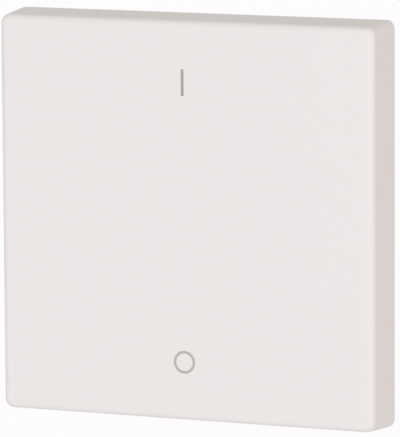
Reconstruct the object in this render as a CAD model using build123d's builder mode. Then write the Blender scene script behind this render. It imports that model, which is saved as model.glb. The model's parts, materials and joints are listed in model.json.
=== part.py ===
from build123d import *
import os
from math import atan, cos, degrees, radians, sqrt, tan

# Flat radio rocker switch for a wall. Sizes are in millimetres, angles in degrees.
# +Z is up, the rocker faces -Y, and the origin is the middle of the face that lies on the wall.
# A height is a distance in front of the wall.

# Rocker cap
rocker_side = 55.0
rocker_depth = 7.1
rocker_front_wall = 1.8
rocker_skirt_wall = 1.5
rocker_draft = 2.9
rocker_edge_round = 0.9
rocker_corner_extra = 0.4
rocker_rim_corner_round = 1.1
rocker_inner_round = 0.8
rocker_tilt = 2.0

# Gussets between the rocker's skirt and its front wall
gusset_thickness = 1.0
gusset_reach = 1.6
gusset_height = 3.0
gusset_spacing = 17.0

# Bearings: the rocker's ears snap over pins on the cover
pin_radius = 1.2
pin_cover = 0.2
bearing_clearance = 0.05
ear_thickness = 3.0
ear_wall = 1.2
ear_grip = 0.2
ear_lead = 0.6
ear_flare = 0.45
well_gap = 0.4
well_wall = 1.0
well_floor = 0.8

# Plungers, their guides and contacts
plunger_inset = 8.0
stem_radius = 1.5
guide_clearance = 0.05
head_radius = 3.2
head_thickness = 0.8
head_edge_round = 0.25
nipple_radius = 0.9
nipple_clearance = 0.03
cap_radius = 2.2
cap_height = 1.05
cap_floor = 0.4
cap_edge_round = 0.25
pad_radius = 2.4
pad_split = 0.5
pad_thickness = 0.1
travel_margin = 0.04
cup_gap = 0.5
cup_wall = 0.9
cup_floor = 0.8
pusher_round = 0.9
pusher_length = 6.0
pusher_height = 0.6
pusher_gap = 0.03

# Return springs
spring_height = 1.4
spring_wire_radius = 0.125
spring_turns = 3
spring_side_gap = 0.4
spring_top_radius = 2.2
spring_seat_gap = 0.02

# Module housing
skirt_gap = 1.2
housing_corner_cut = 9.0
housing_corner_round = 1.0
housing_wall = 1.2
housing_floor = 1.2
cover_thickness = 1.2
cover_clearance = 0.4
cover_edge_round = 0.4
lip_depth = 1.0
lip_thickness = 1.0
lip_clearance = 0.15
stop_radius = 1.5
stop_spacing = 20.0
stop_inset = 2.5
stop_gap = 0.06

# Snap hooks on the wall plate and the ridges they hold
hook_thickness = 1.0
hook_width = 8.0
hook_clearance = 0.2
hook_play = 0.05
hook_lead = 0.9
barb_thickness = 0.5
ridge_depth = 0.6
ridge_thickness = 1.2
ridge_rise = 0.8
ridge_slope = 0.5

# Coin cell and its bay
cell_radius = 10.0
cell_can_height = 2.9
cell_can_round = 0.4
cell_cap_radius = 8.8
cell_cap_height = 0.3
cell_clearance = 0.25
cell_seat_gap = 0.1
bay_setback = 0.3
bay_wall = 1.2
nib_thickness = 0.4
nib_reach = 0.4
nib_width = 3.0
nib_count = 3
pry_width = 4.0
pry_depth = 1.2

# Circuit board and the contacts of the cell
board_thickness = 0.8
board_standoff = 0.4
board_clearance = 0.3
board_cell_gap = 0.5
contact_strip = 0.25
clip_width = 3.0
clip_slot_gap = 0.2
clip_tab = 0.6
clip_touch_gap = 0.02
clip_bow = 1.4
clip_tail = 0.35
leaf_width = 4.0
leaf_foot = 3.0
leaf_bend_gap = 0.5
leaf_tip = 2.5
leaf_tip_lift = 0.4

# Parts on the circuit board
radio_chip_side = 6.0
radio_chip_height = 0.9
memory_length = 5.0
memory_width = 3.9
memory_height = 1.4
memory_edge = 0.3
lead_count = 4
lead_pitch = 1.27
lead_width = 0.4
lead_reach = 1.0
lead_thickness = 0.2
crystal_length = 5.0
crystal_width = 3.2
crystal_height = 1.1
crystal_round = 0.6
capacitor_length = 1.6
capacitor_width = 0.8
capacitor_height = 0.8
capacitor_pitch = 2.0
capacitor_columns = 2
capacitor_rows = 3
antenna_length = 24.0
antenna_thickness = 0.4
antenna_band = 1.2
antenna_lift = 1.0
antenna_foot = 0.8
antenna_inset = 1.2

# Housing screws
screw_setback = 7.5
screw_shank_radius = 1.0
screw_head_radius = 1.8
screw_head_height = 0.9
screw_sink_margin = 0.1
screw_clearance = 0.15
screw_pilot_clearance = 0.02
screw_tip_gap = 0.5
boss_radius = 2.2

# Wall plate
plate_margin = 0.2
plate_corner_round = 4.0
plate_edge_round = 0.4
plate_opening_gap = 0.5
slot_clearance = 0.2
glue_depth = 0.4
glue_margin = 1.5
glue_corner_round = 1.5
wall_hole_inset = 3.787
wall_hole_radius = 1.75
wall_hole_sink_radius = 3.0
wall_hole_sink_angle = 90.0

# Outlines that follow from the rocker
rocker_corner_round = rocker_edge_round + rocker_corner_extra
rocker_face_side = rocker_side - 2 * rocker_depth * tan(radians(rocker_draft))
cavity_side = rocker_side - 2 * rocker_skirt_wall
hook_gap = ridge_depth + hook_clearance
housing_side = cavity_side - 2 * (skirt_gap + hook_thickness + hook_gap)
housing_half = housing_side / 2
board_half = housing_half - housing_wall - board_clearance
plate_side = housing_side + 2 * (hook_gap + hook_thickness + plate_margin)
wall_hole_spacing = plate_side - 2 * wall_hole_inset
plunger_offset = housing_half - plunger_inset
screw_spacing = housing_side - 2 * screw_setback
stop_offset = housing_half - stop_inset
bay_radius = cell_radius + cell_clearance
bay_outer_radius = bay_radius + bay_wall
board_hole_radius = cell_cap_radius + board_cell_gap

# Heights from the wall to the board
nib_height = bay_setback + nib_thickness
cell_height = nib_height + cell_seat_gap
board_rear = cell_height + cell_can_height + cell_seat_gap
board_front = board_rear + board_thickness
floor_top = board_rear - board_standoff
plate_thickness = floor_top - housing_floor
cell_front = cell_height + cell_can_height + cell_cap_height

# Heights from the board to the rocker's face
plunger_travel = plunger_offset * radians(rocker_tilt)
cap_rear = board_front + pad_thickness + plunger_travel + travel_margin
cap_front = cap_rear + cap_height
cup_rear = cap_front + plunger_travel + travel_margin
cup_seat = cup_rear + cup_floor
head_rear = cup_seat + spring_height
head_front = head_rear + head_thickness
pusher_tip = head_front + pusher_gap
rocker_inner = pusher_tip + pusher_height
rocker_front = rocker_inner + rocker_front_wall
rocker_rim = rocker_front - rocker_depth
cover_front = rocker_inner - housing_half * tan(radians(rocker_tilt)) - cover_clearance
cover_rear = cover_front - cover_thickness
stop_front = rocker_inner - (stop_offset + stop_radius) * tan(radians(rocker_tilt)) - stop_gap

# Heights and sizes of the bearings
pivot_height = cover_front - pin_radius - pin_cover
notch_radius = pin_radius + bearing_clearance
ear_width = 2 * (notch_radius + ear_wall)
throat_half = notch_radius - ear_grip
throat_height = pivot_height - sqrt(notch_radius**2 - throat_half**2)
ear_tip = throat_height - ear_lead
well_length = ear_thickness + 2 * well_gap
well_width = ear_width + 2 * well_gap
well_seat = ear_tip - well_gap
well_rear = well_seat - well_floor
ear_offset = housing_half - housing_wall - lip_clearance - well_wall - well_length / 2

RIGHT, TOP, LEFT, BOTTOM = (1, 0, 0), (0, 0, 1), (-1, 0, 0), (0, 0, -1)
SIDES = (RIGHT, TOP, LEFT, BOTTOM)
PLUNGERS = {"upper": plunger_offset, "lower": -plunger_offset}

os.makedirs("parts", exist_ok=True)


def wall_plane(height):
    """Plane along the wall: x to the right, y up, z away from the wall."""
    return Plane.XZ.offset(height)


def cross_plane(outward, shift=0.0):
    """Plane that stands on the wall: x along the outward direction, y away from the wall."""
    across = Vector(outward).cross(Vector(0, -1, 0))
    return Plane(origin=across * shift, x_dir=outward, z_dir=across)


def finish(piece, name):
    """Label a piece and write it."""
    piece.part.label = name
    export_step(piece.part, f"parts/{name}.step")


# Outline of the module: a square whose corners are cut for the wall screws
with BuildSketch() as module_outline:
    Rectangle(housing_side, housing_side)
    chamfer(module_outline.vertices(), housing_corner_cut)


# Rocker: drafted cap with rounded front edges, hollow behind
with BuildPart() as rocker:
    with BuildSketch(wall_plane(rocker_rim)):
        RectangleRounded(rocker_side, rocker_side, rocker_rim_corner_round)
    with BuildSketch(wall_plane(rocker_front)):
        RectangleRounded(rocker_face_side, rocker_face_side, rocker_corner_round)
    loft(ruled=True)
    fillet(rocker.faces().sort_by(Axis.Y)[0].edges(), rocker_edge_round)
    with BuildSketch(wall_plane(rocker_rim)):
        RectangleRounded(cavity_side, cavity_side, rocker_inner_round)
    extrude(amount=rocker_inner - rocker_rim, taper=rocker_draft, mode=Mode.SUBTRACT)

    # Gussets, three along each side of the skirt
    gusset_shifts = (-gusset_spacing, 0.0, gusset_spacing)
    with BuildSketch(*[cross_plane(side, shift) for side in SIDES for shift in gusset_shifts]):
        with BuildLine():
            Polyline(
                (cavity_side / 2, rocker_inner),
                (cavity_side / 2, rocker_inner - gusset_height),
                (cavity_side / 2 - gusset_reach, rocker_inner),
                close=True,
            )
        make_face()
    extrude(amount=gusset_thickness / 2, both=True)

    # Bearing ears, each with a snap-in notch that opens towards the wall
    with BuildSketch(*[cross_plane(TOP, shift) for shift in (-ear_offset, ear_offset)]):
        with Locations((0, ear_tip)):
            Rectangle(ear_width, rocker_inner - ear_tip, align=(Align.CENTER, Align.MIN))
        with Locations((0, pivot_height)):
            Circle(notch_radius, mode=Mode.SUBTRACT)
        with BuildLine():
            Polyline(
                (-throat_half, pivot_height),
                (-throat_half, throat_height),
                (-throat_half - ear_flare, ear_tip),
                (throat_half + ear_flare, ear_tip),
                (throat_half, throat_height),
                (throat_half, pivot_height),
                close=True,
            )
        make_face(mode=Mode.SUBTRACT)
    extrude(amount=ear_thickness / 2, both=True)

    # Pusher ribs, rounded where they bear on the plungers
    with BuildSketch(cross_plane(TOP)):
        with Locations(*[(offset_z, pusher_tip + pusher_round) for offset_z in PLUNGERS.values()]):
            Circle(pusher_round)
    extrude(amount=pusher_length / 2, both=True)
finish(rocker, "rocker")


# Wall plate: a flat square with an opening for the cell bay, screw holes and four snap hooks
with BuildPart() as wall_plate:
    with BuildSketch(wall_plane(0)):
        RectangleRounded(plate_side, plate_side, plate_corner_round)
    extrude(amount=plate_thickness)
    fillet(wall_plate.faces().sort_by(Axis.Y)[0].edges(), plate_edge_round)
    plate_opening = bay_outer_radius + plate_opening_gap
    with BuildSketch(wall_plane(0)):
        Circle(plate_opening)
    extrude(amount=plate_thickness, mode=Mode.SUBTRACT)
    with Locations(wall_plane(plate_thickness)):
        with GridLocations(wall_hole_spacing, wall_hole_spacing, 2, 2):
            CounterSinkHole(
                wall_hole_radius,
                wall_hole_sink_radius,
                plate_thickness,
                wall_hole_sink_angle,
            )

    # Hooks, each with a slot under its barb
    hook_inner = housing_half + hook_gap
    barb_inner = hook_inner - ridge_depth
    slot_inner = barb_inner - slot_clearance
    with BuildSketch(wall_plane(0)):
        with PolarLocations((slot_inner + hook_inner) / 2, len(SIDES)):
            Rectangle(hook_inner - slot_inner, hook_width)
    extrude(amount=plate_thickness, mode=Mode.SUBTRACT)
    ridge_top = plate_thickness + ridge_rise + ridge_thickness
    barb_rear = ridge_top + hook_play
    barb_front = barb_rear + barb_thickness
    hook_tip = barb_front + hook_lead
    with BuildSketch(*[cross_plane(side) for side in SIDES]):
        with BuildLine():
            Polyline(
                (hook_inner, plate_thickness - plate_edge_round),
                (hook_inner, barb_rear),
                (barb_inner, barb_rear),
                (barb_inner, barb_front),
                (hook_inner, hook_tip),
                (hook_inner + hook_thickness, hook_tip),
                (hook_inner + hook_thickness, plate_thickness - plate_edge_round),
                close=True,
            )
        make_face()
    extrude(amount=hook_width / 2, both=True)

    # Shallow recesses for glue pads, above and below the opening
    glue_inner = plate_opening + glue_margin
    glue_outer = slot_inner - glue_margin
    glue_length = wall_hole_spacing - 2 * (wall_hole_sink_radius + glue_margin)
    with BuildSketch(wall_plane(0)):
        with GridLocations(0, glue_inner + glue_outer, 1, 2):
            RectangleRounded(glue_length, glue_outer - glue_inner, glue_corner_round)
    extrude(amount=glue_depth, mode=Mode.SUBTRACT)
finish(wall_plate, "wall_plate")


# Rear housing: a tray with cut corners, the cell bay, screw bosses and ridges for the hooks
with BuildPart() as rear_housing:
    with BuildSketch(wall_plane(plate_thickness)):
        add(module_outline.sketch)
    extrude(amount=cover_rear - plate_thickness)
    fillet(rear_housing.edges().filter_by(Axis.Y), housing_corner_round)
    with BuildSketch(wall_plane(floor_top)):
        offset(module_outline.sketch, -housing_wall, kind=Kind.INTERSECTION, mode=Mode.ADD)
    extrude(amount=cover_rear - floor_top, mode=Mode.SUBTRACT)

    with BuildSketch(wall_plane(bay_setback)):
        Circle(bay_outer_radius)
    extrude(amount=board_rear - bay_setback)
    with BuildSketch(wall_plane(bay_setback)):
        Circle(bay_radius)
    extrude(amount=board_rear - bay_setback, mode=Mode.SUBTRACT)

    # Nibs that hold the cell in its bay
    with BuildSketch(wall_plane(bay_setback)):
        with PolarLocations(bay_radius, nib_count):
            Rectangle(2 * (nib_reach + cell_clearance), nib_width)
        Circle(bay_radius + bay_wall / 2, mode=Mode.INTERSECT)
    extrude(amount=nib_thickness)

    # Notch in the bay's rim where a blade pries the cell out
    with BuildSketch(wall_plane(bay_setback)):
        with PolarLocations(bay_radius, 1, start_angle=180 / nib_count):
            Rectangle(2 * bay_wall, pry_width)
    extrude(amount=pry_depth, mode=Mode.SUBTRACT)

    # Window in the bay's wall for the side contact
    with BuildSketch(cross_plane(LEFT)):
        with Locations((bay_radius - cell_clearance, cell_height + cell_can_round)):
            Rectangle(
                bay_wall + 2 * cell_clearance,
                board_rear - cell_height - cell_can_round,
                align=(Align.MIN, Align.MIN),
            )
    extrude(amount=clip_width / 2 + clip_slot_gap, both=True, mode=Mode.SUBTRACT)

    # Bosses under the board, with sunk holes for the screws
    with BuildSketch(wall_plane(floor_top)):
        with GridLocations(screw_spacing, screw_spacing, 2, 2):
            Circle(boss_radius)
    extrude(amount=board_standoff)
    with BuildSketch(wall_plane(plate_thickness)):
        with GridLocations(screw_spacing, screw_spacing, 2, 2):
            Circle(screw_shank_radius + screw_clearance)
    extrude(amount=board_rear - plate_thickness, mode=Mode.SUBTRACT)
    with BuildSketch(wall_plane(plate_thickness)):
        with GridLocations(screw_spacing, screw_spacing, 2, 2):
            Circle(screw_head_radius + screw_clearance)
    extrude(amount=screw_head_height + screw_sink_margin, mode=Mode.SUBTRACT)

    # Ridges under the barbs of the hooks
    with BuildSketch(*[cross_plane(side) for side in SIDES]):
        with BuildLine():
            Polyline(
                (housing_half - housing_wall / 2, ridge_top - ridge_thickness),
                (housing_half, ridge_top - ridge_thickness),
                (housing_half + ridge_depth, ridge_top - ridge_thickness + ridge_slope),
                (housing_half + ridge_depth, ridge_top),
                (housing_half - housing_wall / 2, ridge_top),
                close=True,
            )
        make_face()
    extrude(amount=hook_width / 2, both=True)
finish(rear_housing, "rear_housing")


# Bearing cover: the module's front, with plunger cups, bearing wells and pins, stops and screw bosses
with BuildPart() as bearing_cover:
    with BuildSketch(wall_plane(cover_rear)):
        add(module_outline.sketch)
    extrude(amount=cover_thickness)
    fillet(bearing_cover.edges().filter_by(Axis.Y), housing_corner_round)
    fillet(bearing_cover.faces().sort_by(Axis.Y)[0].edges(), cover_edge_round)

    # Lip that centres the cover in the tray
    lip_outset = housing_wall + lip_clearance
    with BuildSketch(wall_plane(cover_rear - lip_depth)):
        offset(module_outline.sketch, -lip_outset, kind=Kind.INTERSECTION, mode=Mode.ADD)
        offset(
            module_outline.sketch,
            -lip_outset - lip_thickness,
            kind=Kind.INTERSECTION,
            mode=Mode.SUBTRACT,
        )
    extrude(amount=lip_depth)

    # Cups that guide the plungers and seat their springs
    cup_radius = head_radius + cup_gap
    cup_places = [(0, offset_z) for offset_z in PLUNGERS.values()]
    with BuildSketch(wall_plane(cup_rear)):
        with Locations(*cup_places):
            Circle(cup_radius + cup_wall)
    extrude(amount=cover_rear - cup_rear)
    with BuildSketch(wall_plane(cup_seat)):
        with Locations(*cup_places):
            Circle(cup_radius)
    extrude(amount=cover_front - cup_seat, mode=Mode.SUBTRACT)
    with BuildSketch(wall_plane(cup_rear)):
        with Locations(*cup_places):
            Circle(stem_radius + guide_clearance)
    extrude(amount=cup_floor, mode=Mode.SUBTRACT)

    # Wells for the rocker's ears, each crossed by a bearing pin
    well_places = [(-ear_offset, 0), (ear_offset, 0)]
    with BuildSketch(wall_plane(well_rear)):
        with Locations(*well_places):
            Rectangle(well_length + 2 * well_wall, well_width + 2 * well_wall)
    extrude(amount=cover_rear - well_rear)
    with BuildSketch(wall_plane(well_seat)):
        with Locations(*well_places):
            Rectangle(well_length, well_width)
    extrude(amount=cover_front - well_seat, mode=Mode.SUBTRACT)
    with BuildSketch(*[cross_plane(TOP, shift) for shift in (-ear_offset, ear_offset)]):
        with Locations((0, pivot_height)):
            Circle(pin_radius)
    extrude(amount=well_length / 2, both=True)

    # Stops that end the rocker's tilt
    with BuildSketch(wall_plane(cover_front)):
        with GridLocations(stop_spacing, 2 * stop_offset, 2, 2):
            Circle(stop_radius)
    extrude(amount=stop_front - cover_front)

    # Bosses that take the screws and hold the board down
    with BuildSketch(wall_plane(board_front)):
        with GridLocations(screw_spacing, screw_spacing, 2, 2):
            Circle(boss_radius)
            Circle(screw_shank_radius + screw_pilot_clearance, mode=Mode.SUBTRACT)
    extrude(amount=cover_rear - board_front)
finish(bearing_cover, "bearing_cover")


# Circuit board: open in the middle for the cell's small end, slotted for the side contact
clip_radius = bay_radius + bay_wall / 2
with BuildPart() as circuit_board:
    with BuildSketch(wall_plane(board_rear)):
        offset(
            module_outline.sketch,
            -housing_wall - board_clearance,
            kind=Kind.INTERSECTION,
            mode=Mode.ADD,
        )
        Circle(board_hole_radius, mode=Mode.SUBTRACT)
        with GridLocations(screw_spacing, screw_spacing, 2, 2):
            Circle(screw_shank_radius + screw_clearance, mode=Mode.SUBTRACT)
        with Locations((-clip_radius, 0)):
            Rectangle(
                contact_strip + clip_slot_gap,
                clip_width + clip_slot_gap,
                mode=Mode.SUBTRACT,
            )
    extrude(amount=board_thickness)
finish(circuit_board, "circuit_board")


# Contact pads: a split disc on the board under each plunger
with BuildPart() as contact_pads:
    with BuildSketch(wall_plane(board_front)):
        with Locations(*cup_places):
            Circle(pad_radius)
            Rectangle(pad_split, 2 * pad_radius, mode=Mode.SUBTRACT)
    extrude(amount=pad_thickness)
finish(contact_pads, "contact_pads")


# Coin cell: a flat can with a smaller cap on the board's side
with BuildPart() as coin_cell:
    with BuildSketch(wall_plane(cell_height)):
        Circle(cell_radius)
    extrude(amount=cell_can_height)
    fillet(coin_cell.edges(), cell_can_round)
    with BuildSketch(wall_plane(cell_height + cell_can_height)):
        Circle(cell_cap_radius)
    extrude(amount=cell_cap_height)
finish(coin_cell, "coin_cell")


# Side contact of the cell: a strip through the board, bowed against the can
with BuildPart() as cell_clip:
    clip_touch = cell_radius + clip_touch_gap + contact_strip / 2
    with BuildSketch(cross_plane(LEFT)):
        with BuildLine():
            Polyline(
                (clip_radius, board_front + clip_tab),
                (clip_radius, floor_top),
                (clip_touch, floor_top - clip_bow / 2),
                (clip_touch + clip_tail, floor_top - clip_bow),
            )
        trace(line_width=contact_strip)
    extrude(amount=clip_width / 2, both=True)
finish(cell_clip, "cell_clip")


# Leaf contact of the cell: a strip on the board that reaches down to the cell's cap
with BuildPart() as cell_leaf:
    leaf_bend = board_hole_radius - leaf_bend_gap
    with BuildSketch(cross_plane(RIGHT)):
        with BuildLine():
            Polyline(
                (board_hole_radius + leaf_foot, board_front + contact_strip / 2),
                (leaf_bend, board_front + contact_strip / 2),
                (0, cell_front + contact_strip / 2),
                (-leaf_tip, cell_front + contact_strip / 2 + leaf_tip_lift),
            )
        trace(line_width=contact_strip)
    extrude(amount=leaf_width / 2, both=True)
finish(cell_leaf, "cell_leaf")


# Parts on the board, in the bands beside the cell's opening and between the bosses and the wells
component_offset = (board_hole_radius + board_half) / 2
component_rise = (screw_spacing / 2 - boss_radius + well_width / 2 + well_wall) / 2
with BuildPart() as radio_chip:
    with BuildSketch(wall_plane(board_front)):
        with Locations((-component_offset, component_rise)):
            Rectangle(radio_chip_side, radio_chip_side)
    extrude(amount=radio_chip_height)
finish(radio_chip, "radio_chip")

with BuildPart() as memory_chip:
    with BuildSketch(wall_plane(board_front + lead_thickness)):
        with Locations((component_offset, component_rise)):
            Rectangle(memory_width, memory_length)
    extrude(amount=memory_height)
    chamfer(memory_chip.faces().sort_by(Axis.Y)[0].edges(), memory_edge)
    lead_middle = (lead_count - 1) / 2
    lead_shifts = [lead_pitch * (step - lead_middle) - component_rise for step in range(lead_count)]
    lead_knee = component_offset + memory_width / 2 + lead_reach / 2
    with BuildSketch(*[cross_plane(RIGHT, shift) for shift in lead_shifts]):
        with BuildLine():
            Polyline(
                (component_offset, board_front + memory_height / 2),
                (lead_knee, board_front + memory_height / 2),
                (lead_knee, board_front + lead_thickness / 2),
                (lead_knee + lead_reach / 2, board_front + lead_thickness / 2),
            )
        trace(line_width=lead_thickness)
    extrude(amount=lead_width / 2, both=True)
    mirror(about=Plane.YZ.offset(component_offset))
finish(memory_chip, "memory_chip")

with BuildPart() as crystal:
    with BuildSketch(wall_plane(board_front)):
        with Locations((-component_offset, -component_rise)):
            RectangleRounded(crystal_width, crystal_length, crystal_round)
    extrude(amount=crystal_height)
finish(crystal, "crystal")

with BuildPart() as chip_capacitors:
    with BuildSketch(wall_plane(board_front)):
        with Locations((component_offset, -component_rise)):
            with GridLocations(
                capacitor_length + capacitor_pitch,
                capacitor_pitch,
                capacitor_columns,
                capacitor_rows,
            ):
                Rectangle(capacitor_length, capacitor_width)
    extrude(amount=capacitor_height)
finish(chip_capacitors, "chip_capacitors")

# Antenna: a stamped band on three feet along the board's top edge
with BuildPart() as antenna:
    antenna_offset = board_half - antenna_inset
    with BuildSketch(Plane(origin=(0, 0, antenna_offset), x_dir=RIGHT, z_dir=BOTTOM)):
        with Locations((0, board_front + antenna_lift)):
            Rectangle(antenna_length, antenna_band, align=(Align.CENTER, Align.MIN))
        with Locations((0, board_front)):
            with GridLocations((antenna_length - antenna_foot) / 2, 0, 3, 1):
                Rectangle(antenna_foot, antenna_lift, align=(Align.CENTER, Align.MIN))
    extrude(amount=antenna_thickness / 2, both=True)
finish(antenna, "antenna")


# Housing screws: through the tray and the board into the cover's bosses
with BuildPart() as housing_screws:
    head_seat = plate_thickness + screw_head_height + screw_sink_margin
    with BuildSketch(wall_plane(head_seat - screw_head_height)):
        with GridLocations(screw_spacing, screw_spacing, 2, 2):
            Circle(screw_head_radius)
    extrude(amount=screw_head_height)
    with BuildSketch(wall_plane(head_seat)):
        with GridLocations(screw_spacing, screw_spacing, 2, 2):
            Circle(screw_shank_radius)
    extrude(amount=cover_rear - screw_tip_gap - head_seat)
finish(housing_screws, "housing_screws")


# Plungers with their contact caps and return springs, one set above and one below the pivot
spring_base_radius = cup_radius - spring_side_gap - spring_wire_radius
coil_height = spring_height - 2 * (spring_wire_radius + spring_seat_gap)
coil_angle = degrees(atan((spring_base_radius - spring_top_radius) / coil_height))
coil_pitch = coil_height / cos(radians(coil_angle)) / spring_turns
for place, offset_z in PLUNGERS.items():
    with BuildPart() as plunger:
        with BuildSketch(wall_plane(cap_rear + cap_floor)):
            with Locations((0, offset_z)):
                Circle(nipple_radius)
        extrude(amount=cap_height - cap_floor)
        with BuildSketch(wall_plane(cap_front)):
            with Locations((0, offset_z)):
                Circle(stem_radius)
        extrude(amount=head_rear - cap_front)
        with BuildSketch(wall_plane(head_rear)):
            with Locations((0, offset_z)):
                Circle(head_radius)
        extrude(amount=head_thickness)
        fillet(plunger.faces().sort_by(Axis.Y)[0].edges(), head_edge_round)
    finish(plunger, f"{place}_plunger")

    with BuildPart() as contact_cap:
        with BuildSketch(wall_plane(cap_rear)):
            with Locations((0, offset_z)):
                Circle(cap_radius)
        extrude(amount=cap_height)
        fillet(contact_cap.faces().sort_by(Axis.Y)[0].edges(), cap_edge_round)
        with BuildSketch(wall_plane(cap_rear + cap_floor)):
            with Locations((0, offset_z)):
                Circle(nipple_radius + nipple_clearance)
        extrude(amount=cap_height - cap_floor, mode=Mode.SUBTRACT)
    finish(contact_cap, f"{place}_contact_cap")

    with BuildPart() as return_spring:
        with BuildLine() as coil:
            Helix(
                pitch=coil_pitch,
                height=coil_height,
                radius=spring_base_radius,
                center=(0, -cup_seat - spring_seat_gap - spring_wire_radius, offset_z),
                direction=(0, -1, 0),
                cone_angle=-coil_angle,
            )
        with BuildSketch(Plane(origin=coil.line @ 0, z_dir=coil.line % 0)):
            Circle(spring_wire_radius)
        sweep(path=coil.line, is_frenet=True)
    finish(return_spring, f"{place}_return_spring")
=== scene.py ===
"""Dresses a packed rocker light switch and sets up its picture."""

import json
from math import cos, pi, radians, sin

import bmesh
import bpy
from bpy.props import FloatProperty, FloatVectorProperty, IntProperty, PointerProperty
from mathutils import Matrix, Vector


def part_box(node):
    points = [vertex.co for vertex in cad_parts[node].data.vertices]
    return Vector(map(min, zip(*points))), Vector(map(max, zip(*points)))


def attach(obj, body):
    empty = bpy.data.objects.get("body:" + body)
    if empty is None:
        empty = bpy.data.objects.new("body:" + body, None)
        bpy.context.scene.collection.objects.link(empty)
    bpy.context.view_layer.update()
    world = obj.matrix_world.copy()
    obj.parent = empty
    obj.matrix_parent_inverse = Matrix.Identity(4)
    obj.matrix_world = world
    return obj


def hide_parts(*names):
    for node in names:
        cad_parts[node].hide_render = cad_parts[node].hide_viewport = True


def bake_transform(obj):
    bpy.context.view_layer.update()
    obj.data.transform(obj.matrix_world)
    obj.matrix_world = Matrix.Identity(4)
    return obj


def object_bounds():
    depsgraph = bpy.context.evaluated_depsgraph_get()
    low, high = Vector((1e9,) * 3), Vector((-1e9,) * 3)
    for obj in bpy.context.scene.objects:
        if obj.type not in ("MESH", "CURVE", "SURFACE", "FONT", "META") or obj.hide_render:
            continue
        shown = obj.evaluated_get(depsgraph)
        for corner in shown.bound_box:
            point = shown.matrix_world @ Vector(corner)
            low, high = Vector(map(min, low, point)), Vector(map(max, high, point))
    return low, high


bl_info = {
    "name": "Rocker light switch",
    "version": (1, 0, 0),
    "blender": (4, 5, 0),
    "location": "3D View > Sidebar > Switch",
    "description": "Finishes, printed marks, small parts and a stage for a rocker light switch",
    "category": "Object",
}

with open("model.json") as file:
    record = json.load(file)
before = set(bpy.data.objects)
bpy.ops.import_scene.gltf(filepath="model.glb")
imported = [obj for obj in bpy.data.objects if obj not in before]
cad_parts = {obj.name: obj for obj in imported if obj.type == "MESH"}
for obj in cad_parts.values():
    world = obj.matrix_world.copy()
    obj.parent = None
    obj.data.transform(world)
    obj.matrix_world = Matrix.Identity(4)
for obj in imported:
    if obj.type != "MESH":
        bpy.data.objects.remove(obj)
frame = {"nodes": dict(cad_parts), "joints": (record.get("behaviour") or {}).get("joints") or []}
CAD_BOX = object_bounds()
NODES = frame["nodes"]
MM = 0.001

# Places that the pieces made here take from the frame, in metres
FACE_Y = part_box("rocker")[0].y
RIM_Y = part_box("rocker")[1].y
LOWEST_Z = CAD_BOX[0].z
CELL_BACK_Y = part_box("coin_cell")[1].y
SCREWS_LOW, SCREWS_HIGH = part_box("housing_screws")
RADIO_LOW, RADIO_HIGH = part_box("radio_chip")
MEMORY_LOW, MEMORY_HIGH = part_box("memory_chip")
CAPACITORS_LOW, CAPACITORS_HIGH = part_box("chip_capacitors")

# The picture's height in pixels and the camera's sensor along it in millimetres
PICTURE_HEIGHT = 437
SENSOR = 36.0

# Shares of a whole
MEMORY_BODY_OF_WIDTH = 2 / 3
BAR_CORNER_OF_WIDTH = 0.25
RECESS_FLOOR_OF_MOUTH = 0.5
SCREW_TIP_OF_SHANK = 0.35
PLUS_TONE_OF_CELL = 0.6
FADE_START_OF_FLOOR = 0.6

# How many capacitors and screws stand side by side and one above another
CAPACITOR_COLUMNS, CAPACITOR_ROWS = 2, 3
SCREW_COLUMNS, SCREW_ROWS = 2, 2

# How many steps divide a large circle, a small one, a rounded corner and one turn of a thread
CIRCLE_STEPS = 96
SMALL_STEPS = 32
CORNER_STEPS = 6
THREAD_STEPS = 8

# How steeply the thread rises to its crest
CREST_SLOPE = 2.4

# Faces that meet at more than this angle have a sharp edge between them
SHARP_EDGE = radians(35.0)

# Points of a node's mesh that are closer than this are one point
WELD = 0.0005 * MM


def length(name, description, default, **limits):
    """A length property, given in millimetres and kept in metres."""
    return FloatProperty(
        name=name,
        description=description,
        default=default * MM,
        unit="LENGTH",
        precision=5,
        **limits,
    )


def angle(name, description, default):
    """An angle property, given in degrees."""
    return FloatProperty(
        name=name,
        description=description,
        default=radians(default),
        subtype="ANGLE",
        precision=3,
    )


def colour(name, description, default):
    """A colour property, in linear light."""
    return FloatVectorProperty(
        name=name,
        description=description,
        default=default,
        size=3,
        subtype="COLOR",
        min=0.0,
        max=2.0,
    )


def share(name, description, default):
    """A property from 0 to 1."""
    return FloatProperty(name=name, description=description, default=default, min=0.0, max=1.0)


def watts(name, description, default):
    """A lamp's power in watts."""
    return FloatProperty(
        name=name, description=description, default=default, min=0.0, unit="POWER"
    )


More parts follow.
